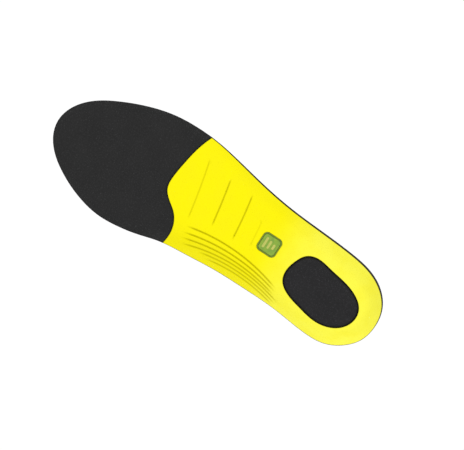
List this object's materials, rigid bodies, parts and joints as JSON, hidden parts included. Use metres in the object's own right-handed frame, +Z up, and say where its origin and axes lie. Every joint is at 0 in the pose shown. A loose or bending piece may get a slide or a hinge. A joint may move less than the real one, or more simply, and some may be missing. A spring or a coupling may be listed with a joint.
{
  "type": "cushioned insole",
  "caption": "Full-length contoured shoe insole: foam laminate with knit cover, deep heel cup, moulded arch cradle with ribbed wall and a soft heel pad in its window.",
  "frame": {"origin": "middle of the box's length and width, on the plane that the sole rests on", "axes": "as worn in a left shoe: +Z up towards the foot, +Y from heel to toe, +X towards the inner (medial) side of the foot"},
  "size_m": [0.0951, 0.28, 0.0282],
  "materials": {
    "cradle_foam": "bright yellow moulded foam, matt skin",
    "heel_gel_foam": "black soft polyurethane foam, matt",
    "black_foam": "black closed-cell EVA foam, matt",
    "ball_gel_foam": "dark grey soft polyurethane foam",
    "comfort_foam": "charcoal open-cell foam, matt",
    "cover_knit": "black fine knit fabric",
    "badge_green": "green soft plastic, satin",
    "badge_pale": "pale yellow-green soft plastic, satin"
  },
  "bodies": {
    "root": {"arch_cradle": "cradle_foam", "heel_pad": "heel_gel_foam", "badge_plate": "badge_green", "badge_symbol": "badge_pale", "base_foam": "black_foam", "ball_pad": "ball_gel_foam", "comfort_foam": "comfort_foam", "top_cover": "cover_knit"}
  },
  "joints": []
}
